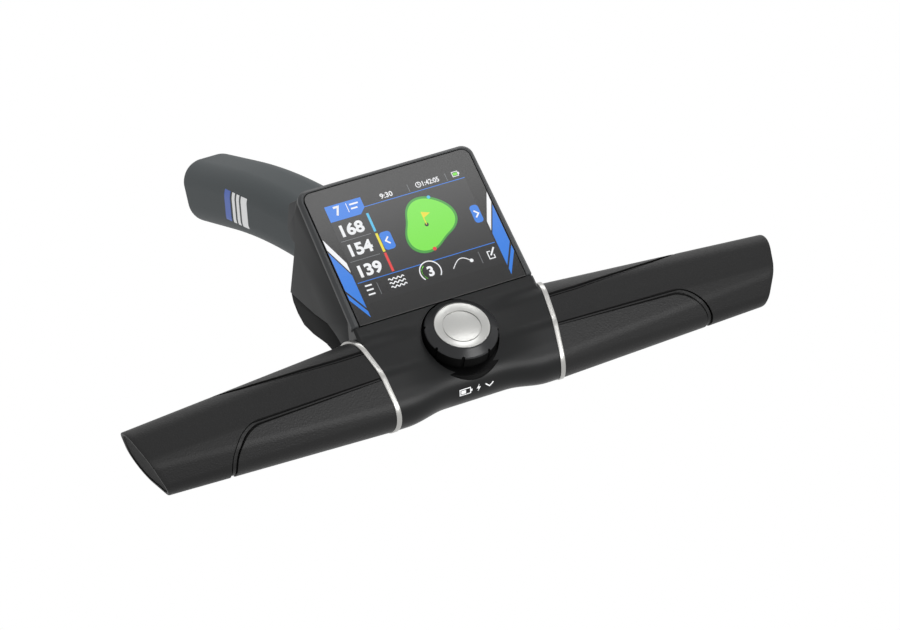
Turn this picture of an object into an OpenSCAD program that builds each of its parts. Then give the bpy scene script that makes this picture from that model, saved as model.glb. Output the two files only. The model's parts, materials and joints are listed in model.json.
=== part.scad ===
// Handlebar console of an electric golf trolley: a T-bar with two soft grips,
// a tilted colour display, a push-and-turn knob and a curved stem.
// Millimetres. +X runs right along the bar, +Y away from the user, +Z up.
// The origin is the mouth of the shaft socket at the lower end of the stem.

/* [Display] */
// width of the cover glass
glass_w = 86.7; // [82:0.1:92]
// height of the cover glass, measured up its slope
glass_h = 71.4; // [68:0.1:76]
// slope of the display from level, in degrees
tilt = 35; // [25:1:45]
// width of the light rim on each side of the glass
rim_w = 2.1; // [1.5:0.1:3]
// how much wider the rim is on each side at the foot than at the top
flare = 1.1; // [0:0.1:2]
// thickness of the cover glass
glass_t = 1.6; // [1:0.1:2]

/* [Grips] */
// distance from the middle to the trim ring's inner face
ring_x = 47.75; // [45:0.25:52]
// width of each trim ring
ring_w = 2.6; // [2:0.1:4]
// half the overall length of the bar, at the top edge of the end
bar_half = 170.6; // [150:0.1:180]
// radius of each handlebar tube
core_r = 9.5; // [8:0.25:10.5]

/* [Knob] */
// outer radius of the knob
knob_r = 17.5; // [15:0.1:18]
// height of the knob
knob_h = 11; // [8:0.5:13]
// radius of the silver disc on the knob
disc_r = 13.1; // [10:0.1:13.6]
// how far the knob can be pressed
press = 0.8; // [0.4:0.1:1.2]

/* [Stem] */
// width of the stem
stem_w = 34.2; // [30:0.1:40]
// radius of the socket for the trolley's shaft
socket_r = 12.6; // [11:0.1:13]
// depth of the socket
socket_depth = 45; // [30:1:50]

/* [View] */
// piece to draw

/* [Hidden] */
$fn = 96;

charcoal = [0.12, 0.12, 0.13];
graphite = [0.20, 0.21, 0.22];
stem_grey = [0.29, 0.32, 0.33];
silver = [0.78, 0.78, 0.76];
black = [0.03, 0.03, 0.03];
green = [0.05, 0.25, 0.15];

gap = 0.1;            // seat between pieces that touch
run = 0.05;           // radial clearance of a running fit
wall = 2.5;

// the bar's cross-section beside the rings and at its outer ends: circles
// given as [y, z, radius], anticlockwise seen from the right
ring_section = [[-23.2, -30.2, 12.5], [-7, -26.1, 13.1], [-6.5, -18.6, 14.1], [-15.5, -22.8, 13.9]];
end_section = [[-22.1, -31.4, 8.3], [-7.1, -31.1, 10.2], [-12.4, -23.9, 12.6], [-18.8, -25.1, 10]];
waist_section = [[-20.4, -29.4, 12], [10, -34.7, 6], [9.4, -1, 6]];
middle = [-9, -22];   // a point well inside the bar
brow_y = -16;         // the display's slope runs on below its foot, down to here
low_swell = [0.52, 0.86];     // shares of the way to the rings between which the waist
top_swell = [0.05, 0.9];      // widens, low in front and on top
around = 64;          // facets round the console's form
steps = 10;           // and stations along each half
core_y = -14;
core_z = -25;

tube_start = 33;
tube_end = bar_half - 24.8;
grip_start = 42;      // the grip's form runs past its ring and its slanted end
grip_end = bar_half - 2.9;

toe = 10.8;           // the rings lean in towards the front
end_turn = 6.8;       // the ends face a little forward
end_lean = 19.4;      // and downward
console_back = 6.4;   // rear face of the console
split_z = -36.6;      // joint between the console's two shells

pod_w = glass_w + 2 * rim_w;
rim_r = 5.6;
foot_r = 1.5;
rim_low = 0.3;        // the rim's face lies this much below the glass
rim_chamfer = 1.2;
bezel_t = 3.6;
knob_lean = 21.5;
knob_pos = [0, -18.2, -3.2];
seat_z = -knob_h - press - 0.4;
pedestal_t = 4.8;
pedestal_r = knob_r + 3;
well_r = knob_r + 0.9;
encoder_h = 7;

// the stem's middle line: straight, an arc, then straight through the socket
stem_start = [60, -12.4];
stem_slope = 14.25;
stem_bend = 7.25;
stem_radius = 670;
stem_run = 105;
stem_corner = 12.3;
socket_run = 49;
bolt_up = 22;         // from the socket's mouth to its clamp bolt
bolt_r = 2.6;
cable_r = 4;
arc_start = stem_start + stem_run * [cos(stem_slope), -sin(stem_slope)];
arc_middle = arc_start - stem_radius * [sin(stem_slope), cos(stem_slope)];
end_slope = stem_slope + stem_bend;
arc_end = arc_middle + stem_radius * [sin(end_slope), cos(end_slope)];
stem_end = arc_end + socket_run * [cos(end_slope), -sin(end_slope)];

pod_seam = [[76.3, -21], [46.8, -17.4], [31.5, -14.2], [21.7, -15.4], [15.7, -17.2],
    [console_back + gap, -20]];
pod_rear = [[61.5, 38.55], [66, 9.5], [76.3, -21]];
pod_under = [[74.6, -25.5], [69.5, -29.6], [62.3, -32.2], [50.8, -31.2], [35.4, -27.9],
    [console_back + gap, -27.4]];

cover_low = stem_start.y + stem_w / 2 + 3.3;    // the collar clears the stem's top

hinge_y = -7.4;
hinge_z = -40.5;

// moves the display's lower edge, where the drawing starts, to its place
module seated() { translate([0, -stem_end.x, -stem_end.y]) children(); }
module on_glass() { seated() rotate([tilt, 0, 0]) children(); }
module on_knob() { seated() translate(knob_pos) rotate([knob_lean, 0, 0]) children(); }
module across(half) { rotate([90, 0, 90]) translate([0, 0, -half]) linear_extrude(2 * half) children(); }
module box(x, y, z) { translate([x[0], y[0], z[0]]) cube([x[1] - x[0], y[1] - y[0], z[1] - z[0]]); }

// outline round a ring of circles, with true arcs
function side_normal(a, b) =
    let (d = [b[0] - a[0], b[1] - a[1]], l = norm(d), u = d / l, k = (a[2] - b[2]) / l)
    k * u + sqrt(1 - k * k) * [u[1], -u[0]];
module outline(circles, grow = 0) {
    n = len(circles);
    for (c = circles) translate([c[0], c[1]]) circle(c[2] + grow);
    polygon([for (i = [0 : n - 1], e = [0, 1])
        let (a = circles[i], b = circles[(i + 1) % n], c = e == 0 ? a : b)
        [c[0], c[1]] + side_normal(a, b) * (c[2] + grow)]);
}
// points round the same outline, one for each direction
function outline_points(circles, count = 48) = [for (k = [0 : count - 1])
    let (d = [cos(k * 360 / count), sin(k * 360 / count)],
        reach = [for (c = circles) c[0] * d[0] + c[1] * d[1] + c[2]],
        c = circles[search(max(reach), reach)[0]])
    [c[0], c[1]] + c[2] * d];
// how far a point inside lies from an outline, given by its sides' normals and offsets,
// in each direction
function way(k, count = around) = [cos(k * 360 / count), sin(k * 360 / count)];
function sides_of(circles, count = 120) = [for (k = [0 : count - 1])
    let (d = way(k, count)) [d, max([for (c = circles) c[0] * d[0] + c[1] * d[1] + c[2]])]];
function reaches(from, sides) = [for (k = [0 : around - 1])
    min([for (s = sides) if (way(k) * s[0] > 0.01) (s[1] - from * s[0]) / (way(k) * s[0])])];
function limit(t) = max(0, min(1, t));
// skin through rings of points, closed at both ends; the rings run anticlockwise
// as seen from the last one
module loft(rings) {
    n = len(rings[0]);
    last = len(rings) - 1;
    polyhedron(points = [for (r = rings) each r], faces = concat(
        [[for (k = [0 : n - 1]) k], [for (k = [n - 1 : -1 : 0]) last * n + k]],
        [for (i = [0 : last - 1], k = [0 : n - 1]) [i * n + k, (i + 1) * n + k, i * n + (k + 1) % n]],
        [for (i = [0 : last - 1], k = [0 : n - 1])
            [(i + 1) * n + k, (i + 1) * n + (k + 1) % n, i * n + (k + 1) % n]]));
}
module right_of(x) { translate([x, 0, 0]) rotate([0, 0, -toe]) translate([0, -200, -200]) cube([300, 400, 400]); }
module left_of(x) { translate([x, 0, 0]) rotate([0, 0, -toe]) translate([-60, -200, -200]) cube([60, 400, 400]); }
module past_end(x) { translate([x, 0, 0]) rotate([0, end_lean, -end_turn]) translate([0, -200, -200]) cube([300, 400, 400]); }

// ---- stem and display pod

stem_flat = stem_w / 2 - stem_corner;
stem_section = [for (c = [[-1, -1], [1, -1], [1, 1], [-1, 1]])
    [c[0] * stem_flat, c[1] * stem_flat, stem_corner]];
function stem_ring(at, slope) = [for (p = outline_points(stem_section))
    [-p[0], at[0] + p[1] * sin(slope), at[1] + p[1] * cos(slope)]];
function arc_point(slope) = arc_middle + stem_radius * [sin(slope), cos(slope)];

module stem_form() {
    loft(concat([stem_ring(stem_start, stem_slope)],
        [for (k = [0 : 6]) let (slope = stem_slope + k * stem_bend / 6) stem_ring(arc_point(slope), slope)],
        [stem_ring(stem_end, end_slope)]));
}
// straight hole inside the stem, from one point of its middle line
module stem_hole(from, slope, r, length) {
    translate([0, from[0], from[1]]) rotate([-90 - slope, 0, 0]) cylinder(r = r, h = length);
}
module pod_outline() { polygon(concat(pod_rear, pod_under, [[console_back, 0]])); }

module stem_shell() {
    color(stem_grey) seated() difference() {
        stem_form();
        translate([0, gap, 0]) across(60) pod_outline();
        translate([0, stem_end.x, stem_end.y]) rotate([90 - end_slope, 0, 0]) {
            translate([0, 0, -1]) cylinder(r = socket_r, h = socket_depth + 1);
            cylinder(r = cable_r, h = socket_run + 4);
            translate([0, 0, bolt_up]) rotate([90, 0, 0]) cylinder(r = bolt_r, h = 40);
        }
        stem_hole(arc_start, stem_slope + stem_bend / 2, cable_r + 1, norm(arc_end - arc_start));
        stem_hole(stem_start, stem_slope, cable_r, stem_run + 4);
    }
}
module rear_cover() {
    color(charcoal) seated() difference() {
        across(41) difference() {
            outline([[66, cover_low, 4], [79, cover_low + 2, 6], [74, cover_low + 11.5, 8], [64, 31, 4]]);
            polygon([[40, 45], each [for (p = pod_rear) p + [gap, 0]], [60, -30], [40, -30]]);
        }
        translate([0, stem_start.x, stem_start.y]) rotate([-90 - stem_slope, 0, 0])
            linear_extrude(stem_run) outline(stem_section, gap);
    }
}
module pod_housing() {
    color(graphite) seated() difference() {
        intersection() {
            across(60) polygon(concat([[console_back + gap, 0.1]], pod_rear, [for (i = [1 : 5]) pod_seam[i]]));
            pod_block(0);
        }
        across(pod_w / 2 - wall) polygon([[9.1, -40], [9.1, 6], [58.6, 40], [63.4, 9.3], [73.4, -20.7], [73.4, -40]]);
        stem_hole(stem_start, stem_slope, cable_r, 40);
    }
}
module pod_base() {
    color(charcoal) seated() difference() {
        intersection() {
            across(60) polygon([each [for (i = [5 : -1 : 0]) pod_seam[i] - [0, gap]], each pod_under]);
            pod_block(0.2);
        }
        across(pod_w / 2 - wall - 0.2) polygon([[9.1, 0], [9.1, -24.8], [35.6, -25.3], [51, -28.6], [62.3, -29.6],
            [68, -27.6], [72, -24], [73, 0]]);
    }
}
// the pod's outline across its display, from its foot up: it narrows upwards
function pod_half(v) = pod_w / 2 + flare * (1 - v / glass_h);
module pod_plate(inset, foot, low, high) {
    top = glass_h + rim_w - rim_r;
    translate([0, 0, low]) linear_extrude(high - low) outline([
        [foot_r - pod_half(foot), foot + foot_r - inset, foot_r - inset],
        [pod_half(foot) - foot_r, foot + foot_r - inset, foot_r - inset],
        [pod_half(top) - rim_r, top, rim_r - inset], [rim_r - pod_half(top), top, rim_r - inset]]);
}
module pod_block(inset) { rotate([tilt, 0, 0]) pod_plate(inset, -15, -80, 10); }
module glass_plate(grow, low, high) {
    w = glass_w / 2;
    translate([0, 0, low]) linear_extrude(high - low)
        outline([[0.5 - w, 0.5, 0.5], [w - 0.5, 0.5, 0.5], [w - 4.5, glass_h - 4.5, 4.5],
            [4.5 - w, glass_h - 4.5, 4.5]], grow);
}
module bezel() {
    color(silver * 0.75) on_glass() difference() {
        hull() {
            pod_plate(0, gap, -bezel_t, -rim_low - rim_chamfer);
            pod_plate(rim_chamfer, gap, -rim_low - 0.1, -rim_low);
        }
        glass_plate(0.15, -glass_t - gap, 2);
        box([-38.6, 38.6], [7.8, 66.2], [-10, 2]);
    }
}
module cover_glass() { color(black) on_glass() glass_plate(0, -glass_t, 0); }
module lcd_module() { color([0.15, 0.16, 0.18]) on_glass() box([-38, 38], [8.7, 65.6], [-5.4, -glass_t - gap]); }
module main_board() {
    color(green) on_glass() {
        box([-38, 38], [10, 64], [-7.1, -5.5]);
        box([-20, -6], [30, 44], [-8.6, -7]);
        box([6, 30], [16, 26], [-9.6, -7]);
    }
}

// ---- centre console

waist_reach = reaches(middle, sides_of(waist_section));
ring_reach = reaches(middle, sides_of(ring_section));
function brow(depth) = reaches(middle,
    [[[-sin(tilt), cos(tilt)], -depth], [[-1, 0], -brow_y], [[1, 0], 12], [[0, -1], 30]]);
brow_reach = brow(rim_low);
chamfer_reach = brow(rim_low + rim_chamfer);
// one side's cross-sections, at a share of the way from the middle to the ring: the
// waist swells into the ring's section, and both lie under the display's slope
function on_slope(k) = brow_reach[k] > ring_reach[k];
slope_x = (pod_half(0) - rim_chamfer - 0.3) / top_swell[1];
function swell(share, k) =
    let (up = limit(0.5 + 0.8 * way(k - around / 3)[0]), ends = low_swell * (1 - up) + top_swell * up)
    0.5 - 0.5 * cos(180 * limit((share - ends[0]) / (ends[1] - ends[0])));
function console_ring(side, share) = [for (k = [0 : around - 1])
    let (t = swell(share, k), reach = waist_reach[k] * (1 - t) + ring_reach[k] * t,
        p = middle + way(k) * max(reach, brow_reach[k]), x = ring_x + p[0] * tan(toe))
    [side * share * (on_slope(k) ? min(x, slope_x) : x), p[0], p[1]]];
// beside the ring the slope ends in a chamfer and a wall in line with the pod's side
function console_end(side, back, brow, wall_x) = [for (k = [0 : around - 1])
    let (p = middle + way(k) * max(ring_reach[k], brow[k]), x = ring_x + p[0] * tan(toe) - back)
    [side * (on_slope(k) ? min(x, wall_x) : x), p[0], p[1]]];

module console_form() {
    shares = [for (k = [0 : steps]) k * top_swell[1] / steps];
    wall_x = pod_half(0);
    function ends(side) = [console_end(side, 0.9, brow_reach, wall_x - rim_chamfer),
        console_end(side, 0.5, chamfer_reach, wall_x - 0.05),
        console_end(side, 0.25, ring_reach, wall_x), console_end(side, 0, ring_reach, 2 * wall_x)];
    loft(concat([for (k = [3 : -1 : 0]) ends(-1)[k]], [for (k = [steps : -1 : 1]) console_ring(-1, shares[k])],
        [for (share = shares) console_ring(1, share)], ends(1)));
}
module console_cuts() {
    box([-60, 60], [console_back, 60], [-60, 60]);
    rotate([tilt, 0, 0]) box([-60, 60], [-0.2, 80], [-bezel_t - gap, 20]);
    for (s = [0, 1]) mirror([s, 0, 0]) translate([tube_start, core_y, core_z]) rotate([0, 90, 0])
        cylinder(r = core_r + run, h = 60);
}
module console_top() {
    color(charcoal) seated() difference() {
        console_form();
        console_cuts();
        box([-60, 60], [-60, 60], [-60, split_z]);
        box([-28, 28], [-26, 3], [-40, -28]);
        translate(knob_pos) rotate([knob_lean, 0, 0]) {
            translate([0, 0, seat_z - pedestal_t - gap]) cylinder(r = pedestal_r + gap, h = pedestal_t + 2 * gap);
            translate([0, 0, seat_z]) cylinder(r = well_r, h = 40);
            box([-7.1, 7.1], [-7.1, 7.1], [-29, seat_z]);
        }
    }
}
module console_base() {
    color(graphite) seated() difference() {
        console_form();
        console_cuts();
        box([-60, 60], [-60, 60], [split_z - gap, 60]);
        box([-11.2, 11.2], [-22.6, hinge_y - 0.8], [-50, hinge_z + 0.9]);
        box([-7.6, 7.6], [-20.1, -9.9], [-50, 0]);
        translate([-8.1, hinge_y, hinge_z]) rotate([0, 90, 0]) cylinder(r = 1 + run, h = 16.2);
        box([-8.1, 8.1], [hinge_y - 1, hinge_y + 0.8], [-50, hinge_z]);
        box([-8.1, 8.1], [hinge_y - 1, hinge_y], [-50, hinge_z + 0.8]);
    }
}
module knob_pedestal() {
    color(graphite) difference() {
        on_knob() translate([0, 0, seat_z - pedestal_t]) cylinder(r = pedestal_r, h = pedestal_t);
        on_knob() translate([0, 0, seat_z - 20]) cylinder(r = 3.6, h = 40);
        seated() box([-60, 60], [console_back, 60], [-60, 60]);
    }
}
module encoder_body() {
    color([0.35, 0.36, 0.38]) on_knob() difference() {
        box([-6.5, 6.5], [-6.5, 6.5], [seat_z - pedestal_t - gap - encoder_h, seat_z - pedestal_t - gap]);
        translate([0, 0, -40]) cylinder(r = 3 + run, h = 60);
    }
}
module encoder_shaft() {
    color(silver) on_knob() translate([0, 0, seat_z - pedestal_t - encoder_h + 2]) cylinder(r = 3, h = -4 - (seat_z - pedestal_t - encoder_h + 2));
}
module knob_ring() {
    color(graphite) on_knob() difference() {
        rotate_extrude() polygon([[0, -knob_h], [knob_r - 0.6, -knob_h], [knob_r, -knob_h + 0.6], [knob_r, -5.6],
            [knob_r - 0.5, -4.8], [disc_r + 0.5, -0.3], [disc_r + 0.2, 0], [0, 0]]);
        translate([0, 0, -1.5]) cylinder(r = disc_r + 0.02, h = 3);
        translate([0, 0, -knob_h - 1]) cylinder(r = 3 + run, h = knob_h + 1 - 3.9);
        for (a = [22.5 : 45 : 337.5]) rotate([0, 0, a]) translate([knob_r, 0, -knob_h - 1]) cylinder(r = 0.6, h = knob_h - 4.2);
    }
}
module knob_cap() {
    color(silver) on_knob() rotate_extrude()
        polygon([[0, -1.5], [disc_r, -1.5], [disc_r, -0.2], [disc_r - 0.3, 0], [8.6, -0.9], [0, -0.9]]);
}

// ---- grips, drawn for the right side

module grip_form(grow = 0) {
    hull() {
        for (c = ring_section) translate([grip_start, c[0], c[1]]) rotate([0, 90, 0]) cylinder(r = c[2] + grow, h = 0.1, $fn = 48);
        for (c = end_section) translate([grip_end, c[0], c[1]]) rotate([0, 90, 0]) cylinder(r = c[2] + grow, h = 0.1, $fn = 48);
    }
}
// the seam of the front panel, seen from the front, and of the rear one, from above
module front_zone(grow = 0) {
    rotate([90, 0, 0]) translate([0, 0, 24.85 - grow]) linear_extrude(60)
        outline([[30, -60, 0.5], [125.3, -60, 0.5], [107.8, -33.2, 18], [30, -13.5, 0.5]], grow);
}
module rear_zone(grow = 0) {
    translate([0, 0, -14.4 - grow]) linear_extrude(40)
        polygon([[30, -12.6 - grow], [62, -11.8 - grow], [90, -9.6 - grow], [106, -7.6 - grow], [115, -5.4 - grow],
            [121, -2.6 - grow], [125 + grow, 4], [126 + grow, 20], [30, 20]]);
}
module grip() {
    color(charcoal) difference() {
        grip_form();
        left_of(ring_x + ring_w + gap);
        past_end(bar_half);
        intersection() { grip_form(-1.6); past_end(bar_half - 3.2); }
        front_zone(0.25);
        rear_zone(0.25);
        translate([30, core_y, core_z]) rotate([0, 90, 0]) cylinder(r = core_r + run, h = tube_end + 0.9 - 30);
    }
}
module front_panel() {
    color(graphite) difference() {
        intersection() { grip_form(); front_zone(); }
        left_of(ring_x + ring_w + gap);
    }
}
module rear_panel() {
    color(graphite) difference() {
        intersection() { grip_form(); rear_zone(); }
        left_of(ring_x + ring_w + gap);
    }
}
module end_cap() {
    color(black) difference() {
        intersection() { grip_form(-1.7); past_end(bar_half - 3.1); }
        past_end(bar_half - 0.6);
    }
}
module trim_ring() {
    color(silver) difference() {
        rotate([90, 0, 90]) translate([0, 0, 38]) linear_extrude(16)
            polygon(outline_points([for (c = ring_section) [c[0], c[1], c[2] + 0.4]], 96));
        right_of(ring_x + ring_w);
        left_of(ring_x + gap);
        translate([30, core_y, core_z]) rotate([0, 90, 0]) cylinder(r = core_r + run, h = 60);
    }
}
module core_tube() {
    length = tube_end - tube_start - gap;
    color(silver * 0.8) translate([tube_start + gap, core_y, core_z]) rotate([0, 90, 0]) difference() {
        cylinder(r = core_r, h = length);
        translate([0, 0, -1]) cylinder(r = core_r - 1.6, h = length + 2);
    }
}
module right_side() { seated() children(); }
module left_side() { seated() mirror([1, 0, 0]) children(); }

// ---- charging port

module usb_port() {
    color(silver) seated() difference() {
        box([-7.5, 7.5], [-20, -10], [-38.8, -29]);
        box([-6.3, 6.3], [-17.6, -12.4], [-45, -31]);
    }
}
module usb_cover() {
    color(black) seated() {
        box([-11, 11], [-22.4, hinge_y - 1.3], [hinge_z - 0.8, hinge_z + 0.8]);
        box([-8, 8], [hinge_y - 1.4, hinge_y], [hinge_z - 0.6, hinge_z + 0.6]);
        translate([-8, hinge_y, hinge_z]) rotate([0, 90, 0]) cylinder(r = 1, h = 16);
    }
}

stem_shell();
rear_cover();
pod_housing();
pod_base();
bezel();
cover_glass();
lcd_module();
main_board();
console_top();
console_base();
knob_pedestal();
encoder_body();
encoder_shaft();
knob_ring();
knob_cap();
right_side() trim_ring();  // trim_ring_right
left_side() trim_ring();  // trim_ring_left
right_side() core_tube();  // core_tube_right
left_side() core_tube();  // core_tube_left
right_side() grip();  // grip_right
left_side() grip();  // grip_left
right_side() front_panel();  // front_panel_right
left_side() front_panel();  // front_panel_left
right_side() rear_panel();  // rear_panel_right
left_side() rear_panel();  // rear_panel_left
right_side() end_cap();  // end_cap_right
left_side() end_cap();  // end_cap_left
usb_port();
usb_cover();
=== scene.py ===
import json
import math

import bmesh
import bpy
from mathutils import Matrix, Vector


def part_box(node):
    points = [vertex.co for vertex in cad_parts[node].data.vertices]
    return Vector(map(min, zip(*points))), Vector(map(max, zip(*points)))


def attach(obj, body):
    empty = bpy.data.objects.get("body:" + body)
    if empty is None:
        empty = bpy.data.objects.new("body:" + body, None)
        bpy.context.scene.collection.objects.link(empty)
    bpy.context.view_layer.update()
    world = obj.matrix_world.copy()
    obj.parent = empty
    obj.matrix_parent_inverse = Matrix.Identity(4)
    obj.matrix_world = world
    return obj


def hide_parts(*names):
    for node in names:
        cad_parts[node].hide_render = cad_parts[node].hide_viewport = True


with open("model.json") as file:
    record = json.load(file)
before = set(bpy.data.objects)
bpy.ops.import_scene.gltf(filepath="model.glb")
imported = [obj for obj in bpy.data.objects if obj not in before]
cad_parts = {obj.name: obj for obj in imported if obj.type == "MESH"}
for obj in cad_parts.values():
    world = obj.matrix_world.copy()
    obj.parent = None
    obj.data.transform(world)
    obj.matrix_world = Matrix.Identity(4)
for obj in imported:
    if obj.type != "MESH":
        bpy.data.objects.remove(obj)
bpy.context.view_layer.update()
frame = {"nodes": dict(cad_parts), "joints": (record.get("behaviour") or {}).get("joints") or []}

mm = 0.001

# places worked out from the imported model
tilt = math.radians(35)
glassLow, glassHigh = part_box("cover_glass")
glassSpan = glassHigh - glassLow
glassHeight = (glassSpan.y * math.cos(tilt) - glassSpan.z * math.sin(tilt)) / math.cos(2 * tilt)
glassFoot = Vector((0, glassLow.y, glassHigh.z - glassHeight * math.sin(tilt)))
onBar = Matrix.Translation(glassFoot)          # the bar is drawn from the middle of the glass's lower edge
onGlass = onBar @ Matrix.Rotation(tilt, 4, "X")
knobJoint = next(j for j in frame["joints"] if j["name"] == "knob_turn")
knobLean = math.atan2(-knobJoint["axis"][1], knobJoint["axis"][2])
onKnob = Matrix.Translation(knobJoint["pos_m"]) @ Matrix.Rotation(knobLean, 4, "X")


class Link:  # a socket that can stand in a sum
    def __init__(self, finish, socket):
        self.finish, self.socket = finish, socket

    def __add__(self, other):
        return self.finish.maths("ADD", self, other)

    def __mul__(self, other):
        return self.finish.maths("MULTIPLY", self, other)

    __radd__ = __add__
    __rmul__ = __mul__


class Finish:  # the nodes of one material, or of the world
    def __init__(self, owner):
        self.owner = owner
        self.owner.use_nodes = True
        self.tree = self.owner.node_tree
        self.tree.nodes.clear()

    def node(self, kind, settings=None, inputs=None, output=0):
        made = self.tree.nodes.new(kind)
        for key, value in (settings or {}).items():
            setattr(made, key, value)
        for key, value in (inputs or {}).items():
            if isinstance(value, Link):
                self.tree.links.new(value.socket, made.inputs[key])
            else:
                made.inputs[key].default_value = value
        return Link(self, made.outputs[output]) if made.outputs else made

    def maths(self, operation, a, b):
        return self.node("ShaderNodeMath", {"operation": operation}, {0: a, 1: b})

    def noise(self, scale, detail=3, roughness=0.55, place=None):
        return self.node("ShaderNodeTexNoise", None, {"Vector": place or self.place, "Scale": scale,
                                                      "Detail": detail, "Roughness": roughness})

    def cells(self, scale, feature="F1"):
        return self.node("ShaderNodeTexVoronoi", {"feature": feature},
                         {"Vector": self.place, "Scale": scale}, "Distance")

    def blend(self, factor, a, b):
        return self.node("ShaderNodeMix", {"data_type": "RGBA"}, {0: factor, 6: a, 7: b}, 2)

    def bump(self, height, depth, strength):
        return self.node("ShaderNodeBump", None, {"Height": height, "Distance": depth, "Strength": strength})

    def close(self, sockets):
        shader = self.node("ShaderNodeBsdfPrincipled", None, sockets)
        self.node("ShaderNodeOutputMaterial", None, {"Surface": shader})
        return self.owner


def newFinish(name):  # a material whose patterns stay on the piece
    finish = Finish(bpy.data.materials.new(name))
    finish.place = finish.node("ShaderNodeTexCoord", output="Object")
    return finish


def grey(level):
    return (level, level, level, 1)


def shade(colour, factor, lift=0):  # a paler or darker kind of a colour
    return tuple(min(1, c * factor + lift) for c in colour[:3]) + (1,)


def mouldedPlastic(name, colour, roughness, grain=0.006, specular=0.35):
    f = newFinish(name)
    fine = f.noise(3200, 2)
    broad = f.noise(28, 3)
    return f.close({"Base Color": f.blend(broad * 0.5 + fine * 0.3, colour, shade(colour, 1.35, 0.002)),
                    "Roughness": broad * 0.08 + fine * 0.06 + (roughness - 0.07),
                    "Specular IOR Level": specular,
                    "Normal": f.bump(fine, grain * mm, 0.6)})


def softTouch(name, colour, roughness, specular=0.3):
    f = newFinish(name)
    wander = f.noise(900, 2)
    pebbles = f.cells(1500)
    creases = f.cells(760, "DISTANCE_TO_EDGE")
    broad = f.noise(24, 3)
    height = pebbles * 0.4 + creases * 0.9 + wander * 0.5
    return f.close({"Base Color": f.blend(broad * 0.5 + creases * 0.5, colour, shade(colour, 1.5, 0.002)),
                    "Roughness": broad * 0.07 + wander * 0.08 + (roughness - 0.07),
                    "Specular IOR Level": specular,
                    "Normal": f.bump(height, 0.11 * mm, 0.85)})


def satinMetal(name, colour, roughness, stretch=(1, 1, 1)):
    f = newFinish(name)
    drawn = f.node("ShaderNodeMapping", None, {"Vector": f.place, "Scale": stretch})
    brushed = f.noise(2600, 3, 0.6, drawn)
    broad = f.noise(40, 2)
    return f.close({"Base Color": f.blend(brushed * 0.6, colour, shade(colour, 0.86)), "Metallic": 1.0,
                    "Roughness": brushed * 0.1 + broad * 0.06 + (roughness - 0.08),
                    "Normal": f.bump(brushed, 0.004 * mm, 0.5)})


def displayInk(name, colour):  # lit from behind, under the glass's own gloss
    f = newFinish(name)
    speck = f.noise(5200, 1)
    return f.close({"Base Color": grey(0.002), "Roughness": 0.16, "Specular IOR Level": 0.34,
                    "Emission Color": f.blend(speck, shade(colour, 0.88), colour), "Emission Strength": 1})


def coverGlass(name):
    f = newFinish(name)
    smear = f.noise(22, 4)
    return f.close({"Base Color": grey(0.003), "Roughness": smear * 0.04 + 0.14, "Specular IOR Level": 0.34})


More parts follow.
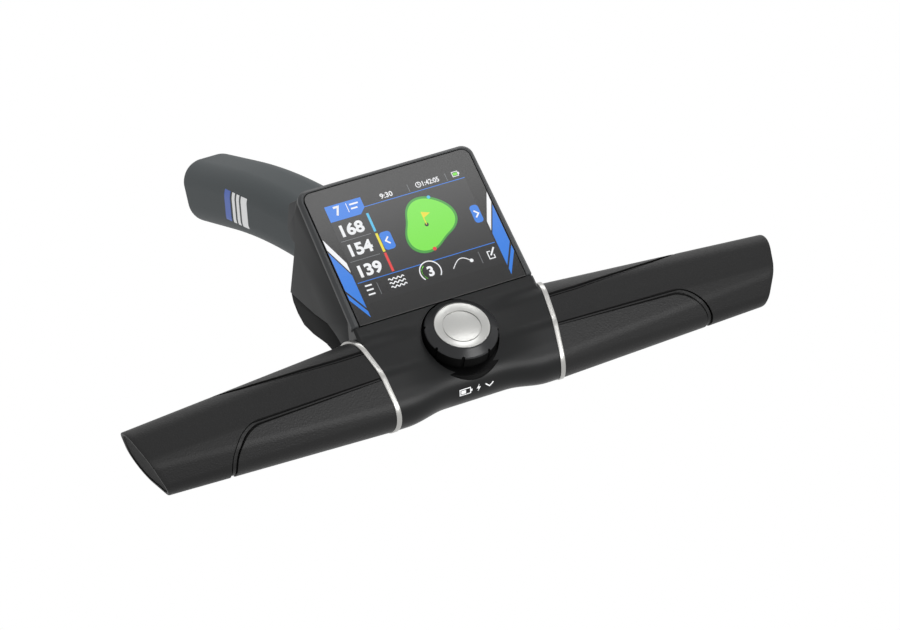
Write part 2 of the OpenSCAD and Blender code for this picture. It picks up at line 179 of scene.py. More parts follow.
finishes = {
    "stem": mouldedPlastic("stemPlastic", (0.06, 0.068, 0.071, 1), 0.52, 0.01, 0.065),
    "console": mouldedPlastic("consolePlastic", (0.0065, 0.0068, 0.007, 1), 0.36, 0.006, 0.18),
    "pod": mouldedPlastic("podPlastic", (0.018, 0.0187, 0.0192, 1), 0.5, 0.006, 0.07),
    "collar": mouldedPlastic("collarPlastic", (0.029, 0.03, 0.031, 1), 0.5, 0.006, 0.07),
    "podLow": mouldedPlastic("podLowPlastic", (0.0035, 0.0036, 0.0037, 1), 0.62, 0.006, 0.04),
    "panelBack": mouldedPlastic("panelBackPlastic", (0.02, 0.02, 0.022, 1), 0.4),
    "rim": mouldedPlastic("rimPlastic", (0.032, 0.0338, 0.0354, 1), 0.38, 0.006, 0.3),
    "pedestal": mouldedPlastic("pedestalPlastic", (0.0015, 0.0015, 0.0016, 1), 0.4, 0.006, 0.06),
    "knob": mouldedPlastic("knobPlastic", (0.01, 0.0103, 0.0112, 1), 0.3, 0.004, 0.3),
    # the knob's black side, darkened further as painted shade because that side is lit less
    "knobSide": mouldedPlastic("knobSidePaintedShade", (0.0008, 0.0008, 0.0008, 1), 0.55, 0.006, 0.04),
    "board": mouldedPlastic("boardGreen", (0.02, 0.09, 0.045, 1), 0.4),
    "encoder": mouldedPlastic("encoderPlastic", (0.03, 0.03, 0.032, 1), 0.5),
    "grip": softTouch("gripSoftTouch", (0.0052, 0.0052, 0.0053, 1), 0.48, 0.22),
    "panel": softTouch("panelSoftTouch", (0.0052, 0.0052, 0.0053, 1), 0.45, 0.25),
    "cap": mouldedPlastic("capRubber", (0.003, 0.003, 0.003, 1), 0.6, 0.003, 0.05),
    "cover": softTouch("coverRubber", (0.008, 0.008, 0.008, 1), 0.55),
    "ring": satinMetal("ringSatin", (0.44, 0.436, 0.42, 1), 0.3),
    "disc": satinMetal("discSatin", (0.46, 0.46, 0.446, 1), 0.32),
    "steel": satinMetal("steelTurned", (0.5, 0.5, 0.49, 1), 0.3),
    "tube": satinMetal("tubeAluminium", (0.55, 0.55, 0.54, 1), 0.35, (0.1, 1, 1)),
    "glass": coverGlass("coverGlass"),
    "paintWhite": mouldedPlastic("paintWhite", (0.8, 0.81, 0.82, 1), 0.4, 0.003),
    "paintBlue": mouldedPlastic("paintBlue", (0.012, 0.075, 0.4, 1), 0.4, 0.003),
    "inkDark": displayInk("inkDark", (0.003, 0.003, 0.0035, 1)),
    "inkPage": displayInk("inkPage", (0.014, 0.014, 0.015, 1)),
    "inkBlue": displayInk("inkBlue", (0.015, 0.2, 0.76, 1)),
    "inkCyan": displayInk("inkCyan", (0.06, 0.5, 0.8, 1)),
    "inkYellow": displayInk("inkYellow", (0.85, 0.72, 0.02, 1)),
    "inkRed": displayInk("inkRed", (0.8, 0.03, 0.03, 1)),
    "inkGreen": displayInk("inkGreen", (0.19, 0.78, 0.05, 1)),
    "inkMoss": displayInk("inkMoss", (0.04, 0.33, 0.03, 1)),
    "inkGrey": displayInk("inkGrey", (0.16, 0.17, 0.18, 1)),
    "inkWhite": displayInk("inkWhite", (0.9, 0.91, 0.93, 1)),
}


# round a ring of (u, v, radius) circles, with one point for each direction
def outlinePoints(circles, count, grow=0):
    points = []
    for k in range(count):
        d = Vector((math.cos(k * math.tau / count), math.sin(k * math.tau / count)))
        c = max(circles, key=lambda c: c[0] * d.x + c[1] * d.y + c[2])
        points.append(Vector((c[0] + (c[2] + grow) * d.x, c[1] + (c[2] + grow) * d.y)))
    return points


# Joins ring after ring of points. It closes the ends, or joins the last ring to the first. The rings'
# points match one by one, which also holds where two rings lie in one plane and a bridge would twist.
def skin(bm, rings, closed=True):
    loops = [[bm.verts.new(p) for p in points] for points in rings]
    for a, b in zip(loops, loops[1:] + ([] if closed else loops[:1])):
        for k in range(len(a)):
            bm.faces.new((a[k - 1], a[k], b[k], b[k - 1]))
    if closed:
        bm.faces.new(loops[0])
        bm.faces.new(loops[-1])
    bmesh.ops.recalc_face_normals(bm, faces=bm.faces)


def lifted(bm, faces, along):  # extrudes flat faces to solids
    grown = bmesh.ops.extrude_face_region(bm, geom=faces, use_keep_orig=True)["geom"]
    bmesh.ops.translate(bm, vec=along, verts=[v for v in grown if isinstance(v, bmesh.types.BMVert)])


def pushed(bm, corners, along):  # a solid from a flat shape, in millimetres
    face = bm.faces.new([bm.verts.new(Vector(c) * mm) for c in corners])
    lifted(bm, [face], Vector(along) * mm)


def cutOff(bm, point, normal):  # cuts off what lies past a plane and closes the cut
    cut = bmesh.ops.bisect_plane(bm, geom=bm.verts[:] + bm.edges[:] + bm.faces[:], dist=1e-7,
                                 plane_co=point, plane_no=normal, clear_outer=True)["geom_cut"]
    bmesh.ops.contextual_create(bm, geom=[e for e in cut if isinstance(e, bmesh.types.BMEdge)])
    bmesh.ops.recalc_face_normals(bm, faces=bm.faces)


def bevelEdges(bm, edges, width, segments):
    bmesh.ops.bevel(bm, geom=edges, offset=width, offset_type="OFFSET", segments=segments, profile=0.5,
                    affect="EDGES", clamp_overlap=True, material=-1)


def mirrored(bm):
    other = bm.copy()
    bmesh.ops.scale(other, vec=(-1, 1, 1), verts=other.verts)
    bmesh.ops.reverse_faces(other, faces=other.faces)
    return other


# cuts one object with another for good, where mixed says that the first one's parts may cross
def carve(piece, tool, operation="DIFFERENCE", mixed=False):
    cut = piece.modifiers.new("carve", "BOOLEAN")
    cut.operation, cut.object, cut.solver, cut.use_self = operation, tool, "EXACT", mixed
    shown = piece.evaluated_get(bpy.context.evaluated_depsgraph_get())
    mesh = bpy.data.meshes.new_from_object(shown)
    piece.modifiers.clear()
    old, piece.data = piece.data, mesh
    bpy.data.meshes.remove(old)
    bpy.data.objects.remove(tool)


def smoothed(mesh, angle):  # smooth, but for the edges that turn by more than the angle
    mesh.shade_smooth()
    mesh.set_sharp_from_angle(angle=math.radians(angle))


def newObject(name, bm, material=None, smooth=0):
    mesh = bpy.data.meshes.new(name)
    bm.to_mesh(mesh)
    bm.free()
    piece = bpy.data.objects.new(name, mesh)
    bpy.context.scene.collection.objects.link(piece)
    if material:
        mesh.materials.append(material)
    if smooth:
        smoothed(mesh, smooth)
    return piece


def drill(place, radius, low, high, steps=64):  # a round tool along a place's Z
    bm = bmesh.new()
    bmesh.ops.create_cone(bm, cap_ends=True, segments=steps, radius1=radius * mm, radius2=radius * mm,
                          depth=(high - low) * mm,
                          matrix=place @ Matrix.Translation((0, 0, (low + high) / 2 * mm)))
    return newObject("drill", bm)


def slab(place, low, high):  # a square tool between two corners
    bm = bmesh.new()
    bmesh.ops.create_cube(bm, size=1)
    low, high = Vector(low), Vector(high)
    bmesh.ops.scale(bm, vec=(high - low) * mm, verts=bm.verts)
    bmesh.ops.translate(bm, vec=(low + high) / 2 * mm, verts=bm.verts)
    bmesh.ops.transform(bm, matrix=place, verts=bm.verts)
    return newObject("slab", bm)


def settle(piece, body, nodes):  # a print replaces no node
    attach(piece, body)
    if nodes:
        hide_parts(*nodes)


def block(x0, x1, v0, v1):
    return [(x0, v0), (x1, v0), (x1, v1), (x0, v1)]


def disc(x, v, r, steps=40):
    turns = [k * math.tau / steps for k in range(steps)]
    return [(x + r * math.cos(t), v + r * math.sin(t)) for t in turns]


def rounded(x0, x1, v0, v1, r):
    circles = [(x, v, r) for x, v in block(x0 + r, x1 - r, v0 + r, v1 - r)]
    return [tuple(p) for p in outlinePoints(circles, 48)]


def stroke(points, width, closed=False):  # a line of some width, in one four-sided piece for each stretch
    sides, count = [], len(points)
    for k, point in enumerate(points):
        here = Vector(point)
        before = here - Vector(points[k - 1]) if closed or k else None
        after = Vector(points[(k + 1) % count]) - here if closed or k < count - 1 else before
        before = (before or after).normalized()
        along = (before + after.normalized()).normalized()
        side = Vector((-along.y, along.x)) * width / 2 / max(along.dot(before), 0.4)
        sides.append((here - side, here + side))
    ends = sides[1:] + (sides[:1] if closed else [])
    return [[a[0], b[0], b[1], a[1]] for a, b in zip(sides, ends)]


def arc(x, v, r, start, end, steps):
    turns = [math.radians(start + (end - start) * k / steps) for k in range(steps + 1)]
    return [(x + r * math.cos(t), v + r * math.sin(t)) for t in turns]


stem = {"start": (60, -12.4), "slope": 14.25, "bend": 7.25, "radius": 670, "run": 105,
        "width": 34.2, "corner": 12.3, "socketRun": 49, "socketRadius": 12.6, "socketDepth": 45,
        "cableRadius": 4, "cableDepth": 60, "boltUp": 22, "boltRadius": 2.6, "boltReach": 40, "rim": 0.8}


def stemPath():  # (y, z, slope) down the middle line: straight, round a bend and straight again
    slope, end = math.radians(stem["slope"]), math.radians(stem["slope"] + stem["bend"])
    (y, z), run, radius = stem["start"], stem["run"], stem["radius"]
    spots = [(y + run * t * math.cos(slope), z - run * t * math.sin(slope), slope) for t in (0.1, 0.4, 0.7)]
    y, z = y + run * math.cos(slope), z - run * math.sin(slope)
    y, z = y - radius * math.sin(slope), z - radius * math.cos(slope)     # the bend's centre
    for k in range(13):
        turn = slope + (end - slope) * k / 12
        spots.append((y + radius * math.sin(turn), z + radius * math.cos(turn), turn))
    y, z, _ = spots[-1]
    run = stem["socketRun"]
    return spots + [(y + run * t * math.cos(end), z - run * t * math.sin(end), end) for t in (0.5, 0.96, 1)]


def stemForm(grow=0):
    flat = stem["width"] / 2 - stem["corner"]
    section = [(x * flat, z * flat, stem["corner"]) for x, z in ((-1, -1), (1, -1), (1, 1), (-1, 1))]
    points = outlinePoints(section, 96, grow)
    bm = bmesh.new()
    skin(bm, [[onBar @ (Vector((p.x, y + p.y * math.sin(slope), z + p.y * math.cos(slope))) * mm)
               for p in points] for y, z, slope in stemPath()])
    return bm


def aimed(point, direction):  # a place whose Z runs along the direction
    return Matrix.Translation(point) @ direction.to_track_quat("Z", "Y").to_matrix().to_4x4()


def makeStem():
    bm = stemForm()
    y, z, end = stemPath()[-1]
    mouth = onBar @ (Vector((0, y, z)) * mm)
    down = Vector((0, math.cos(end), -math.sin(end)))
    rim = [e for e in bm.edges if all((v.co - mouth).dot(down) > -0.01 * mm for v in e.verts)]
    bevelEdges(bm, rim, stem["rim"] * mm, 3)
    piece = newObject("stemShell", bm, finishes["stem"], 40)
    for hole in ("socket", "cable"):
        carve(piece, drill(aimed(mouth, down), stem[hole + "Radius"], -stem[hole + "Depth"], 5))
    under = Vector((0, -math.sin(end), -math.cos(end)))
    bolt = mouth - down * stem["boltUp"] * mm
    carve(piece, drill(aimed(bolt, under), stem["boltRadius"], 0, stem["boltReach"]))
    settle(piece, "frame", ["stem_shell"])


# slanted bars printed on the stem's left side, and the stretch of X that they are cut out of
stemBars = {"middle": (214, -53.4), "slope": 16.8, "half": 8.6, "lean": 0.32, "paint": 0.07, "from": -30,
            "through": 22, "white": [(-15.5, -7), (-4.6, -0.6), (1.8, 5.8)], "blue": [(8.6, 16.8)]}


def makeStemBars():
    turn, high = math.radians(stemBars["slope"]), stemBars["half"]
    y, z = stemBars["middle"]
    for name, finish in (("white", "paintWhite"), ("blue", "paintBlue")):
        bm = bmesh.new()
        for u0, u1 in stemBars[name]:
            corners = [(u - w * stemBars["lean"], w) for u, w in block(u0, u1, -high, high)]
            spots = [(stemBars["from"], y + u * math.cos(turn) + w * math.sin(turn),
                      z - u * math.sin(turn) + w * math.cos(turn)) for u, w in corners]
            pushed(bm, spots, (stemBars["through"], 0, 0))
        bmesh.ops.transform(bm, matrix=onBar, verts=bm.verts)
        bmesh.ops.recalc_face_normals(bm, faces=bm.faces)
        bars = newObject("stemBars" + name.capitalize(), bm, finishes[finish])
        carve(bars, newObject("skin", stemForm(stemBars["paint"])), "INTERSECT")
        settle(bars, "frame", [])


makeStem()
makeStemBars()
print("stem made")


# the bar's middle: its sections as (y, z, radius) circles, and the cuts as pairs of corners
console = {"waist": [(-20.4, -29.4, 12), (10, -34.7, 6), (9.4, -1, 6)],
           "beside": [(-23.2, -30.2, 12.5), (-7, -26.1, 13.1), (-6.5, -18.6, 14.1), (-15.5, -22.8, 13.9)],
           "middle": (-9, -22), "lowSwell": (0.52, 0.86), "topSwell": (0.05, 0.9), "brow": 16, "browLow": 0.3,
           "chamfer": 1.2, "fillet": 2.4, "around": 192, "along": 30,
           "ringX": 47.75, "ringW": 2.6, "toe": 10.8, "back": 6.4, "split": -36.6, "splitGap": 0.1,
           "seat": -12.2, "pedestal": 4.8, "pedestalR": 20.5, "wellR": 18.4,
           "displayCut": ((-60, -0.2, -3.7), (60, 80, 20)),
           "coverCut": ((-11.2, -22.6, -50), (11.2, -8.2, -39.6)),
           "portCut": ((-7.6, -20.1, -50), (7.6, -9.9, 0))}
display = {"width": 86.7, "height": 71.4, "corner": 4.5, "foot": 0.5, "rim": 2.1, "flare": 1.1, "seat": 1.6,
           "rimCorner": 5.6, "rimFoot": 1.5, "rimUp": 0.1, "rimDepth": 3.6, "gap": 0.35, "seatGap": 0.15,
           "windowCut": ((-38.6, 7.8, -10), (38.6, 66.2, 2))}
toe = math.radians(console["toe"])
outwards = Vector((math.cos(toe), -math.sin(toe), 0))     # a ring's face on the right side


def podHalf(v):  # half the pod's width, at a height up the display
    return display["width"] / 2 + display["rim"] + display["flare"] * (1 - v / display["height"])


def heading(k):
    turn = k * math.tau / console["around"]
    return Vector((math.cos(turn), math.sin(turn)))


def reaches(sides):  # how far an outline lies from the middle in each direction, given its sides
    start = Vector(console["middle"])
    found = []
    for k in range(console["around"]):
        u = heading(k)
        found.append(min((off - start.dot(n)) / u.dot(n) for n, off in sides if u.dot(n) > 0.01))
    return found


def sidesOf(circles):
    steps = console["around"]
    return [(d, max(c[0] * d.x + c[1] * d.y + c[2] for c in circles)) for d in map(heading, range(steps))]


def brow(depth):  # the display's slope, run on down below its foot, over a box that the waist covers
    return reaches([(Vector((-math.sin(tilt), math.cos(tilt))), -depth), (Vector((-1, 0)), console["brow"]),
                    (Vector((1, 0)), 12), (Vector((0, -1)), 30)])


def merged(a, b, soft):  # the greater of two lengths, with a soft change between them
    near = max(soft - abs(a - b), 0) / soft if soft else 0
    return max(a, b) + near * near * soft / 4


# how far the waist has widened to the ring's section, at a share of the way and in one direction
def swell(share, k):
    up = min(max(0.5 + 0.8 * math.cos((k / console["around"] - 1 / 3) * math.tau), 0), 1)
    low, high = (a * (1 - up) + b * up for a, b in zip(console["lowSwell"], console["topSwell"]))
    return 0.5 - 0.5 * math.cos(math.pi * min(max((share - low) / (high - low), 0), 1))


def consoleShell(grow=0):
    around, start = console["around"], Vector(console["middle"])
    waist, beside = reaches(sidesOf(console["waist"])), reaches(sidesOf(console["beside"]))
    slope, edge = brow(console["browLow"]), brow(console["browLow"] + console["chamfer"])
    wall, last = podHalf(0), console["topSwell"][1]
    slopeX = (wall - console["chamfer"] - 0.3) / last

    def station(share):  # an outline on the way to the ring
        loop = []
        for k in range(around):
            t = swell(share, k)
            reach = merged(waist[k] * (1 - t) + beside[k] * t, slope[k], console["fillet"] * t)
            p = start + heading(k) * (reach + grow)
            x = console["ringX"] + p.x * math.tan(toe)
            loop.append((share * (min(x, slopeX) if slope[k] > beside[k] else x), p.x, p.y))
        return loop

    def ending(back, top, wallX, soft=0):  # an outline close to the ring, set back from it
        loop = []
        for k in range(around):
            p = start + heading(k) * (merged(beside[k], top[k], soft) + grow)
            x = console["ringX"] + p.x * math.tan(toe) - back
            loop.append((min(x, wallX) if slope[k] > beside[k] else x, p.x, p.y))
        return loop

    half = [station(last * k / console["along"]) for k in range(console["along"] + 1)]
    half += [ending(0.9, slope, wall - console["chamfer"], console["fillet"]),
             ending(0.5, edge, wall - 0.05, 0.6), ending(0.25, beside, wall), ending(0, beside, 2 * wall)]
    rings = [[(-x, y, z) for x, y, z in loop] for loop in half[:0:-1]] + half
    bm = bmesh.new()
    skin(bm, [[onBar @ (Vector(p) * mm) for p in loop] for loop in rings])
    return bm


def makeConsole():
    for name, node, top in (("consoleTop", "console_top", True), ("consoleBase", "console_base", False)):
        bm = consoleShell()
        cutOff(bm, onBar @ Vector((0, console["back"] * mm, 0)), (0, 1, 0))
        joint = console["split"] - (0 if top else console["splitGap"])
        cutOff(bm, onBar @ Vector((0, 0, joint * mm)), (0, 0, -1) if top else (0, 0, 1))
        piece = newObject(name, bm, finishes["console"], 35)
        if top:
            carve(piece, slab(onGlass, *console["displayCut"]))
            low = console["seat"] - console["pedestal"] - 0.1
            carve(piece, drill(onKnob, console["pedestalR"] + 0.1, low, console["seat"] + 0.1, 128))
            carve(piece, drill(onKnob, console["wellR"], low, 30, 128))
        else:
            for cut in ("coverCut", "portCut"):
                carve(piece, slab(onBar, *console[cut]))
        smoothed(piece.data, 35)
        settle(piece, "frame", [node])


# charging signs on the console's lip: a battery, a bolt and an arrow down to the port
lipSigns = {"z": -29.6, "high": 1.5, "line": 0.45, "inset": 0.6, "paint": 0.06, "from": -40, "through": 12,
            "battery": (-9.6, -4.2), "tip": (-4.0, -3.3), "charge": (-9, -6.6),
            "bolt": [(0.5, 1.9), (-1.1, -0.3), (-0.1, -0.3), (-0.5, -1.9), (1.1, 0.4), (0.1, 0.4)],
            "arrow": [(3.6, 0.9), (5.6, -0.9), (7.6, 0.9)]}


def makeLipSigns():
    z, h, w, inset = (lipSigns[key] for key in ("z", "high", "line", "inset"))
    bolt, arrow = ([(x, z + up) for x, up in lipSigns[sign]] for sign in ("bolt", "arrow"))
    shapes = stroke(block(*lipSigns["battery"], z - h, z + h), w, True)
    shapes += [block(*lipSigns["tip"], z - inset, z + inset),
               block(*lipSigns["charge"], z - h + inset, z + h - inset), bolt]
    shapes += stroke(arrow, w * 1.3)
    bm = bmesh.new()
    for points in shapes:
        pushed(bm, [(x, lipSigns["from"], height) for x, height in points], (0, lipSigns["through"], 0))
    bmesh.ops.transform(bm, matrix=onBar, verts=bm.verts)
    bmesh.ops.recalc_face_normals(bm, faces=bm.faces)
    signs = newObject("lipSigns", bm, finishes["paintWhite"])
    carve(signs, newObject("skin", consoleShell(lipSigns["paint"])), "INTERSECT", True)
    settle(signs, "frame", [])


makeConsole()
makeLipSigns()
print("console made")


knob = {"radius": 17.4, "height": 11, "disc": 13.1, "side": 3.1, "notch": 0.8, "notches": 8,
        "shaft": (3.1, -3.9), "recess": 1.5, "dish": 0.92, "groove": (8.7, 9.1, -1.3)}


def turned(profile, steps=96):  # spins (radius, height) points round the knob's axis
    bm = bmesh.new()
    verts = [bm.verts.new((r * mm, 0, z * mm)) for r, z in profile]
    edges = [bm.edges.new(pair) for pair in zip(verts, verts[1:])]
    bmesh.ops.spin(bm, geom=verts + edges, cent=(0, 0, 0), axis=(0, 0, 1), angle=math.tau, steps=steps,
                   use_merge=True)
    bmesh.ops.remove_doubles(bm, verts=bm.verts, dist=0.001 * mm)
    bmesh.ops.recalc_face_normals(bm, faces=bm.faces)
    bmesh.ops.transform(bm, matrix=onKnob, verts=bm.verts)
    return bm


def makeKnob():
    r, low, side, d = knob["radius"], -knob["height"], -knob["side"], knob["disc"]
    shaft, shaftTop = knob["shaft"]
    foot = [(shaft, shaftTop), (shaft, low), (r - 1.6, low), (r - 0.9, low + 0.2), (r - 0.5, low + 0.9),
            (r - 0.5, low + 1.7), (r, low + 2.2)]
    chamfer = [(r, side - 0.25), (r - 0.1, side + 0.1), (r - 0.5, side + 0.6), (d + 0.75, -0.45),
               (d + 0.5, -0.12), (d + 0.25, 0)]
    recess = [(d + 0.08, -0.1), (d + 0.05, -knob["recess"]), (0, -knob["recess"])]
    piece = newObject("knobRing", turned(foot + chamfer + recess), finishes["knob"], 25)
    for k in range(knob["notches"]):
        turn = Matrix.Rotation(math.radians(22.5) + k * math.tau / knob["notches"], 4, "Z")
        place = onKnob @ turn @ Matrix.Translation((r * mm, 0, 0))
        carve(piece, drill(place, knob["notch"], low - 1, 0, 16))
    smoothed(piece.data, 25)
    # the side below the chamfer takes the near-black knobSide finish: the knob's own black side, darkened
    # further as painted shade where it is lit less
    piece.data.materials.append(finishes["knobSide"])
    fromKnob = onKnob.inverted()
    for face in piece.data.polygons:
        if (fromKnob @ face.center).z < (side - 0.1) * mm:
            face.material_index = 1
    settle(piece, "knob", ["knob_ring"])


def makeKnobCap():
    d, dish = knob["disc"], -knob["dish"]
    near, far, deep = knob["groove"]
    edge = [(0, -1.45), (d - 0.1, -1.45), (d, -1.35), (d, -0.25), (d - 0.12, -0.06), (d - 0.4, 0),
            (d - 0.7, -0.06)]
    inside = [(9.3, -0.76), (9.15, -0.85), (far, deep), (near + 0.05, deep), (near, -1.0), (8.5, dish),
              (0, dish)]
    settle(newObject("knobCap", turned(edge + inside), finishes["disc"], 25), "knob", ["knob_cap"])


makeKnob()
makeKnobCap()
print("knob made")


trimRing = {"proud": 0.4, "edge": 0.3, "depth": 2}


def tiltedRing(circles, x, grow, count):  # an outline on a plane that leans with the rings
    points = outlinePoints(circles, count, grow)
    return [Vector(((x + p.x * math.tan(toe)) * mm, p.x * mm, p.y * mm)) for p in points]


def makeRings():
    low, high = console["ringX"] + 0.1, console["ringX"] + console["ringW"]
    proud, edge, depth = trimRing["proud"], trimRing["edge"], trimRing["depth"]
    rounding = [(0, proud - edge), (edge * 0.3, proud - edge * 0.3), (edge, proud)]
    profile = [(low, -depth)] + [(low + x, grow) for x, grow in rounding]
    profile += [(high - x, grow) for x, grow in reversed(rounding)] + [(high, -depth)]
    right = bmesh.new()
    skin(right, [tiltedRing(console["beside"], x, grow, 144) for x, grow in profile], closed=False)
    for side, bm in (("right", right), ("left", mirrored(right))):
        bmesh.ops.transform(bm, matrix=onBar, verts=bm.verts)
        piece = newObject("trimRing" + side.capitalize(), bm, finishes["ring"], 40)
        settle(piece, "frame", ["trim_ring_" + side])


makeRings()
print("trim rings made")


# The grips are made on the right and mirrored to the left. Their sections are (y, z, radius) circles. The
# rings of the rim and the cap are given as how far back from the slanted end and how far inwards they lie.
grip = {"from": 42, "to": 168,
        "tips": [(-22.1, -31.4, 8.3), (-7.1, -31.1, 10.2), (-12.4, -23.9, 12.6), (-18.8, -25.1, 10)],
        "barHalf": 170.6, "lean": 19.4, "turn": 6.8, "around": 160, "along": 60,
        "seam": 0.65, "clear": 0.1, "border": 1, "step": 0.7, "line": 0.6, "lineDepth": 1.7,
        "rim": [(3, 0), (0.5, 0), (0.22, 0.07), (0.07, 0.22), (0, 0.5), (0, 1.2), (0.1, 1.45), (0.3, 1.6),
                (3.2, 1.6)],
        "cap": [(3.1, 1.7), (1.1, 1.7), (0.75, 1.8), (0.6, 2.2), (0.6, 2.6), (0.6, 4)]}
# the front panel and its field, as (x, z, radius) circles seen from the front
frontPanel = {"outline": [(30, -60, 0.5), (123.1, -60, 0.5), (105.6, -33.4, 18), (30, -13.5, 0.5)],
              "back": -24.85, "front": -70}
frontField = {"outline": [(30, -60, 0.5), (121.4, -60, 0.5), (104.3, -33.8, 17.1), (30, -13.8, 0.5)],
              "back": -26, "front": -70}
# the rear panel, as (x, y) points seen from above
rearPanel = {"outline": [(30, -12.6), (62, -11.8), (90, -9.6), (106, -7.6), (115, -5.4), (121, -2.6),
                         (125, 4), (126, 20), (30, 20)],
             "low": -14.4, "high": 30, "tip": 124, "wider": 0.35, "border": 1.3}
sideways = Matrix.Rotation(-math.radians(grip["turn"]), 3, "Z")
downwards = Matrix.Rotation(math.radians(grip["lean"]), 3, "Y")
endOut = sideways @ downwards @ Vector((1, 0, 0))     # the slanted end's face


def gripLoop(grow, point, normal):  # where the grip's straight lines cross a plane
    near = outlinePoints(console["beside"], grip["around"], grow)
    far = outlinePoints(grip["tips"], grip["around"], grow)
    loop = []
    for a, b in zip(near, far):
        a, b = Vector((grip["from"], *a)), Vector((grip["to"], *b))
        loop.append((a + (b - a) * ((point - a).dot(normal) / (b - a).dot(normal))) * mm)
    return loop


def endLoop(back, inset, grow=0):
    return gripLoop(grow - inset, Vector((grip["barHalf"] - back, 0, 0)), endOut)


def gripForm(endProfile, grow=0):  # from just past the trim ring to the slanted end
    first = Vector((console["ringX"] + console["ringW"] + 0.1, 0, 0))
    start, end = gripLoop(grow, first, outwards), endLoop(*endProfile[0], grow)
    rings = [[a.lerp(b, k / grip["along"]) for a, b in zip(start, end)] for k in range(grip["along"])]
    bm = bmesh.new()
    skin(bm, rings + [endLoop(back, inset, grow) for back, inset in endProfile])
    return bm


def frontZone(grow, border=frontPanel):  # its walls are the front panel's seam
    bm = bmesh.new()
    points = outlinePoints(border["outline"], 160, grow)
    skin(bm, [[Vector((p.x, y + grow, p.y)) * mm for p in points] for y in (border["back"], border["front"])])
    return newObject("frontZone", bm)


def frontInner(grow):
    return frontZone(grow, frontField)


def rearZone(grow):  # its walls are the rear panel's seam
    bm = bmesh.new()
    outline, low, high, tip = (rearPanel[key] for key in ("outline", "low", "high", "tip"))
    points = [(x + grow if x > tip else x, y - grow if y < 0 else y) for x, y in outline]
    skin(bm, [[Vector((x, y, z - grow)) * mm for x, y in points] for z in (low, high)])
    return newObject("rearZone", bm)


def rearInner(grow):
    return rearZone(grow - rearPanel["border"])


def stepDown(panel, zone, inner):  # lowers a panel's border and cuts a groove round its field
    for outer, depth in ((zone(grip["border"]), grip["step"]), (inner(grip["line"]), grip["lineDepth"])):
        carve(outer, inner(0))
        carve(outer, newObject("inside", gripForm([(-10, 0)], -depth)))
        carve(panel, outer)


def bothSides(piece, name, node, finish):  # keeps the right one and makes the left one
    bm = bmesh.new()
    bm.from_mesh(piece.data)
    bpy.data.objects.remove(piece)
    bmesh.ops.remove_doubles(bm, verts=bm.verts, dist=0.001 * mm)
    for side, half in (("left", mirrored(bm)), ("right", bm)):
        bmesh.ops.transform(half, matrix=onBar, verts=half.verts)
        made = newObject(name + side.capitalize(), half, finishes[finish], 35)
        settle(made, "frame", [node + "_" + side])


def makeGrips():
    body = newObject("grip", gripForm(grip["rim"]))
    carve(body, frontZone(grip["seam"]))
    carve(body, rearZone(grip["seam"] + rearPanel["wider"]))
    bothSides(body, "grip", "grip", "grip")
    for name, node, zone, inner in (("frontPanel", "front_panel", frontZone, frontInner),
                                    ("rearPanel", "rear_panel", rearZone, rearInner)):
        panel = newObject(name, gripForm(grip["rim"]))
        carve(panel, zone(-grip["clear"]), "INTERSECT")
        stepDown(panel, zone, inner)
        bothSides(panel, name, node, "panel")
    bm = bmesh.new()
    skin(bm, [endLoop(back, inset) for back, inset in grip["cap"]])
    bothSides(newObject("cap", bm), "endCap", "end_cap", "cap")


makeGrips()
print("grips made")


def plate(circles, profile):  # stacks an outline: how far it grows, and its height off the glass
    bm = bmesh.new()
    skin(bm, [[onGlass @ (Vector((p.x, p.y, z)) * mm) for p in outlinePoints(circles, 96, grow)]
              for grow, z in profile])
    return bm


def glassCircles():
    w, h, r, foot = display["width"] / 2, display["height"], display["corner"], display["foot"]
    return [(foot - w, foot, foot), (w - foot, foot, foot), (w - r, h - r, r), (r - w, h - r, r)]


def makeGlass():
    gap = display["gap"]
    edge = [(-gap, -0.2), (-gap - 0.06, -0.06), (-gap - 0.2, 0)]
    bm = plate(glassCircles(), [(-gap, -display["seat"])] + edge)
    settle(newObject("coverGlass", bm, finishes["glass"], 12), "frame", ["cover_glass"])


def makeBezel():
    corner, small, chamfer = display["rimCorner"], display["rimFoot"], console["chamfer"]
    low, bottom = -console["browLow"], display["rimUp"] + small
    top = display["height"] + display["rim"] - corner
    outer = [(small - podHalf(0), bottom, small), (podHalf(0) - small, bottom, small),
             (podHalf(top) - corner, top, corner), (corner - podHalf(top), top, corner)]
    bm = plate(outer, [(0, -display["rimDepth"]), (0, low - chamfer - 0.15), (-0.12, low - chamfer + 0.1),
                       (-chamfer - 0.05, low - 0.1), (-chamfer - 0.2, low), (-small + 0.05, low)])
    piece = newObject("bezel", bm, finishes["rim"], 30)
    gap = display["seatGap"]
    carve(piece, newObject("seat", plate(glassCircles(), [(gap, -display["seat"] - 0.1), (gap, 2)])))
    carve(piece, slab(onGlass, *display["windowCut"]))
    smoothed(piece.data, 30)
    settle(piece, "frame", ["bezel"])


# solids whose edges are broken: piece, body, slot, finish, width of the bevel and its steps
softened = {
    "pod_housing": ("podHousing", "frame", "graphite", "pod", 0.5, 3),
    "pod_base": ("podBase", "frame", "charcoal", "podLow", 0.7, 3),
    "rear_cover": ("rearCover", "frame", "charcoal", "collar", 0.6, 3),
    "knob_pedestal": ("knobPedestal", "frame", "graphite", "pedestal", 0.9, 3),
    "usb_port": ("usbPort", "frame", "steel", "steel", 0.15, 2),
    "usb_cover": ("usbCover", "port_cover", "black_plug", "cover", 0.25, 2),
}
# solids that lie inside and only get a finish
insideSolids = {"lcd_module": "panelBack", "main_board": "board", "encoder_body": "encoder",
                "encoder_shaft": "steel", "core_tube_right": "tube", "core_tube_left": "tube"}


